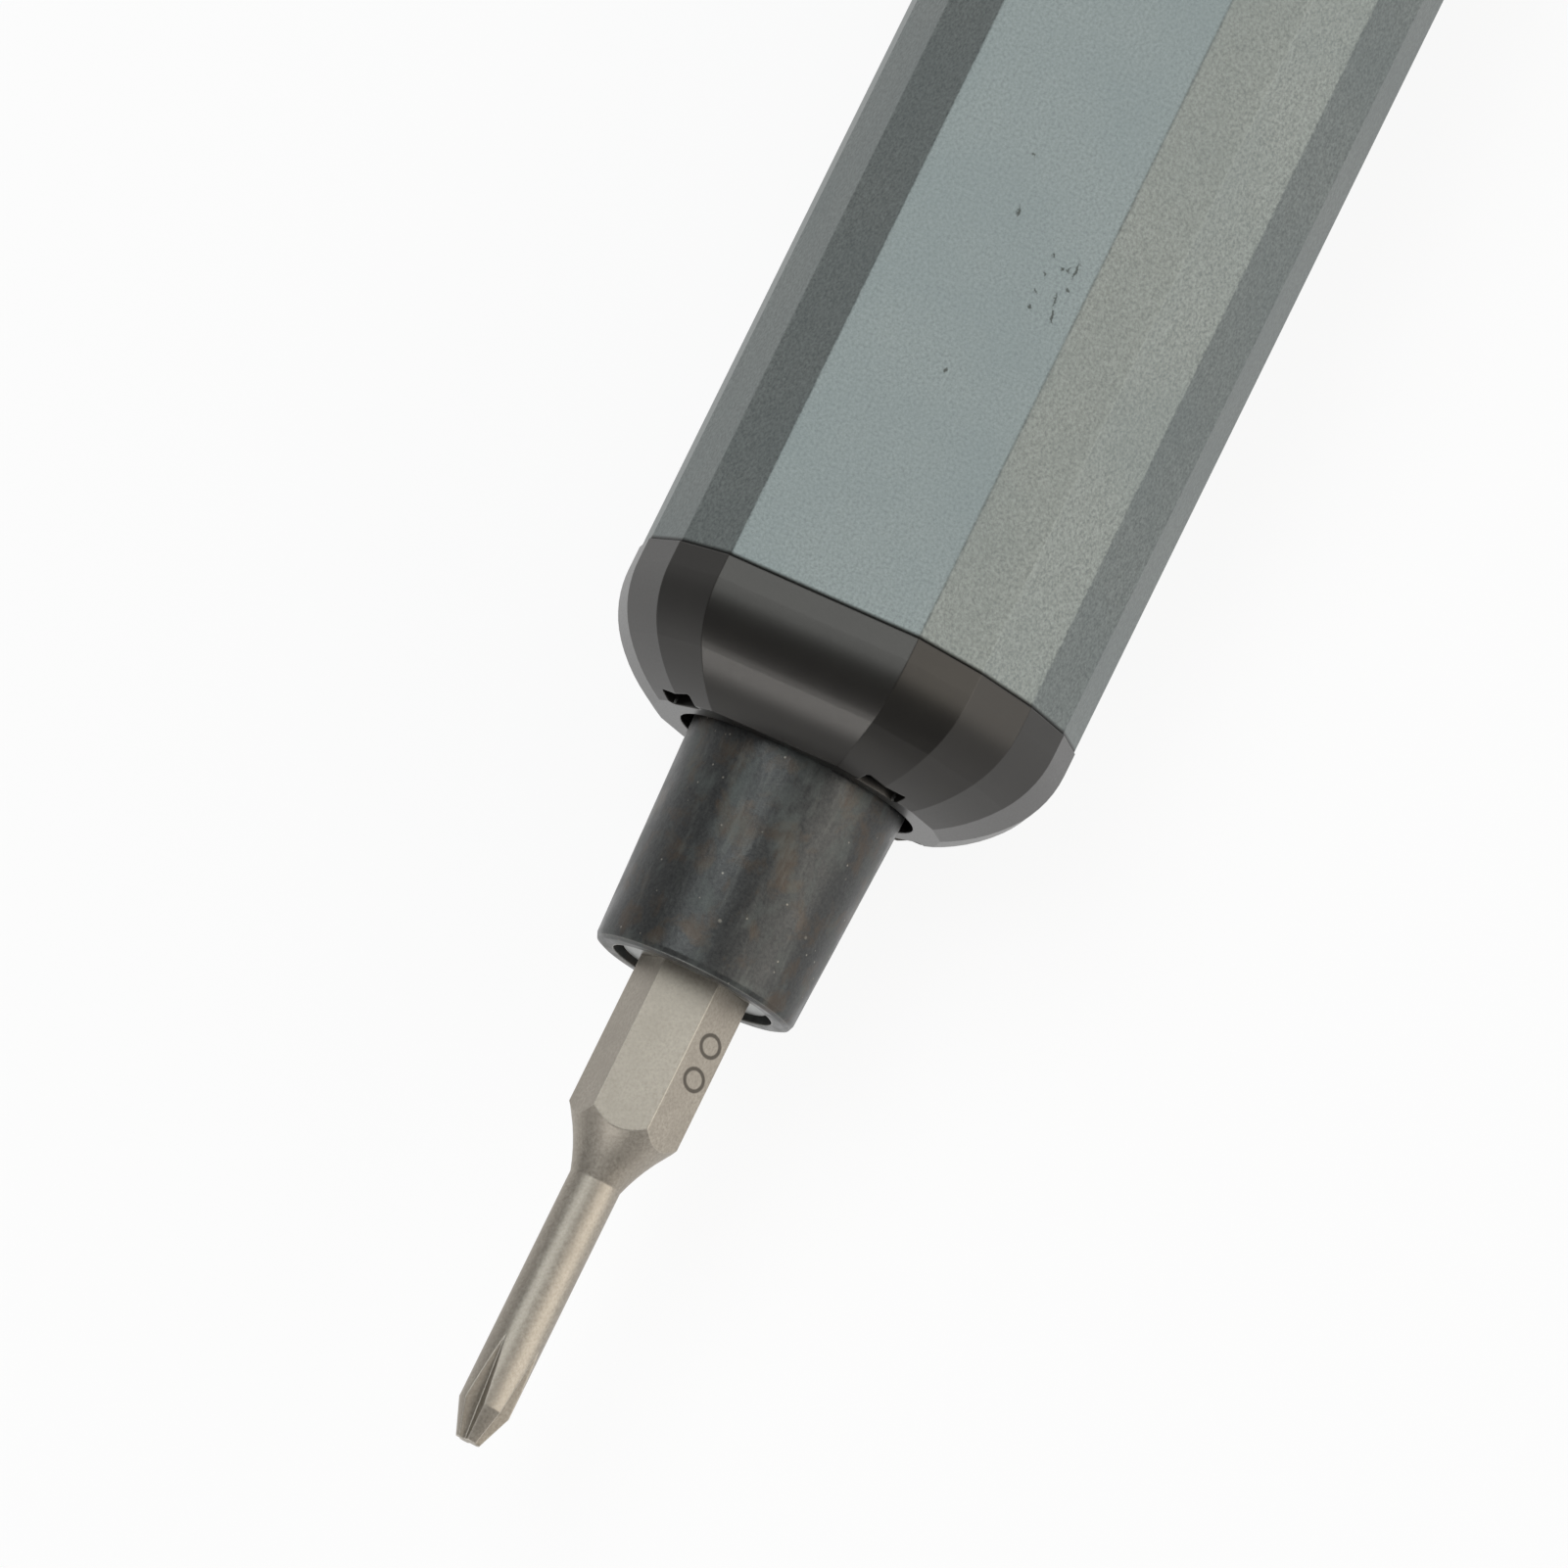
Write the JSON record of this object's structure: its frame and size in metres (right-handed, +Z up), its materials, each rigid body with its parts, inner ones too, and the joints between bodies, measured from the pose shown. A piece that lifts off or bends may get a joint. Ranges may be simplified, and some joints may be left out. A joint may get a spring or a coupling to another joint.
{
  "type": "electric screwdriver",
  "caption": "Slim cordless precision screwdriver with a faceted metal body, a planetary gearbox and a hexagon chuck that holds a thin cross-point bit.",
  "frame": {"origin": "on the ground, under the middle of the whole length, with the tool lying on its lower flat", "axes": "+X along the axis towards the bit, +Z up through the upper flat with the buttons"},
  "size_m": [0.1608, 0.0184, 0.0173],
  "materials": {
    "anodised": "bead-blasted grey-green anodise",
    "black_moulding": "fine satin moulding",
    "smoked_clear": "smoked clear",
    "blackened_steel": "black oxide, mottled",
    "bright_steel": "turned",
    "bit_steel": "grey hardened tool steel",
    "magnet": "nickel plated",
    "gear_steel": "sintered",
    "bronze": "sintered bronze",
    "copper": "enamelled copper wire",
    "grey_plastic": "moulded nylon",
    "board": "green solder mask",
    "lamp": "white package",
    "cell_sleeve": "shrink sleeve",
    "nickel": "nickel strip",
    "foam": "closed-cell foam",
    "button_black": "satin",
    "chip_black": "moulded package"
  },
  "bodies": {
    "housing": {"body_tube": "anodised", "nose_cap": "black_moulding", "light_guide": "smoked_clear", "lamp_board": "board", "lamps": "lamp", "gearbox_housing": "grey_plastic", "front_bush": "bronze", "thrust_washer": "bright_steel", "motor_plate": "bright_steel", "motor_can": "bright_steel", "motor_front_bush": "bronze", "motor_magnets": "chip_black", "motor_end_cap": "grey_plastic", "motor_terminals": "nickel", "motor_brushes": "copper", "chassis_lower": "grey_plastic", "chassis_upper": "grey_plastic", "main_board": "board", "control_chips": "chip_black", "push_switches": "nickel", "cell": "cell_sleeve", "cell_tabs": "nickel", "cell_pad": "foam", "charging_port": "bright_steel", "port_tongue": "chip_black", "charge_board": "board", "tail_cap": "black_moulding"},
    "spindle": {"chuck_sleeve": "blackened_steel", "bit_socket": "bright_steel", "socket_magnet": "magnet", "output_carrier": "gear_steel", "second_planet_pins": "bright_steel", "retaining_clip": "bright_steel"},
    "bit": {"driver_bit": "bit_steel"},
    "first_carrier": {"first_carrier": "gear_steel", "first_planet_pins": "bright_steel"},
    "motor_rotor": {"motor_pinion": "gear_steel", "motor_shaft": "bright_steel", "rotor_core": "gear_steel", "rotor_windings": "copper", "commutator": "copper"},
    "forward_button": {"forward_button": "button_black", "forward_plunger": "chip_black"},
    "reverse_button": {"reverse_button": "button_black", "reverse_plunger": "chip_black"},
    "first_planet_1": {"first_planet_1": "gear_steel"},
    "second_planet_1": {"second_planet_1": "gear_steel"},
    "first_planet_2": {"first_planet_2": "gear_steel"},
    "second_planet_2": {"second_planet_2": "gear_steel"},
    "first_planet_3": {"first_planet_3": "gear_steel"},
    "second_planet_3": {"second_planet_3": "gear_steel"}
  },
  "joints": [
    {"name": "chuck_spin", "type": "hinge", "parent": "housing", "child": "spindle", "pos_m": [0.04603, 0, 0.00841], "axis": [1, 0, 0], "continuous": true},
    {"name": "carrier_spin", "type": "hinge", "parent": "housing", "child": "first_carrier", "pos_m": [0.04603, 0, 0.00841], "axis": [1, 0, 0], "continuous": true},
    {"name": "motor_spin", "type": "hinge", "parent": "housing", "child": "motor_rotor", "pos_m": [0.04603, 0, 0.00841], "axis": [1, 0, 0], "continuous": true},
    {"name": "second_planet_1_spin", "type": "hinge", "parent": "spindle", "child": "second_planet_1", "pos_m": [0.04603, 0.00378, 0.00841], "axis": [1, 0, 0], "continuous": true},
    {"name": "first_planet_1_spin", "type": "hinge", "parent": "first_carrier", "child": "first_planet_1", "pos_m": [0.04603, 0.00378, 0.00841], "axis": [1, 0, 0], "continuous": true},
    {"name": "second_planet_2_spin", "type": "hinge", "parent": "spindle", "child": "second_planet_2", "pos_m": [0.04603, -0.00189, 0.01169], "axis": [1, 0, 0], "continuous": true},
    {"name": "first_planet_2_spin", "type": "hinge", "parent": "first_carrier", "child": "first_planet_2", "pos_m": [0.04603, -0.00189, 0.01169], "axis": [1, 0, 0], "continuous": true},
    {"name": "second_planet_3_spin", "type": "hinge", "parent": "spindle", "child": "second_planet_3", "pos_m": [0.04603, -0.00189, 0.00514], "axis": [1, 0, 0], "continuous": true},
    {"name": "first_planet_3_spin", "type": "hinge", "parent": "first_carrier", "child": "first_planet_3", "pos_m": [0.04603, -0.00189, 0.00514], "axis": [1, 0, 0], "continuous": true},
    {"name": "bit_pull", "type": "slide", "parent": "spindle", "child": "bit", "axis": [1, 0, 0], "range_m": [0, 0.015]},
    {"name": "forward_press", "type": "slide", "parent": "housing", "child": "forward_button", "axis": [0, 0, -1], "range_m": [0, 0.00035], "stiffness_N_per_m": 1500, "springref_m": -0.0001},
    {"name": "reverse_press", "type": "slide", "parent": "housing", "child": "reverse_button", "axis": [0, 0, -1], "range_m": [0, 0.00035], "stiffness_N_per_m": 1500, "springref_m": -0.0001}
  ],
  "couplings": [
    {"joint": "carrier_spin", "follows": "chuck_spin", "ratio": 4.5},
    {"joint": "motor_spin", "follows": "chuck_spin", "ratio": 20.25},
    {"joint": "second_planet_1_spin", "follows": "chuck_spin", "ratio": -2.8},
    {"joint": "first_planet_1_spin", "follows": "chuck_spin", "ratio": -12.6},
    {"joint": "second_planet_2_spin", "follows": "chuck_spin", "ratio": -2.8},
    {"joint": "first_planet_2_spin", "follows": "chuck_spin", "ratio": -12.6},
    {"joint": "second_planet_3_spin", "follows": "chuck_spin", "ratio": -2.8},
    {"joint": "first_planet_3_spin", "follows": "chuck_spin", "ratio": -12.6}
  ]
}
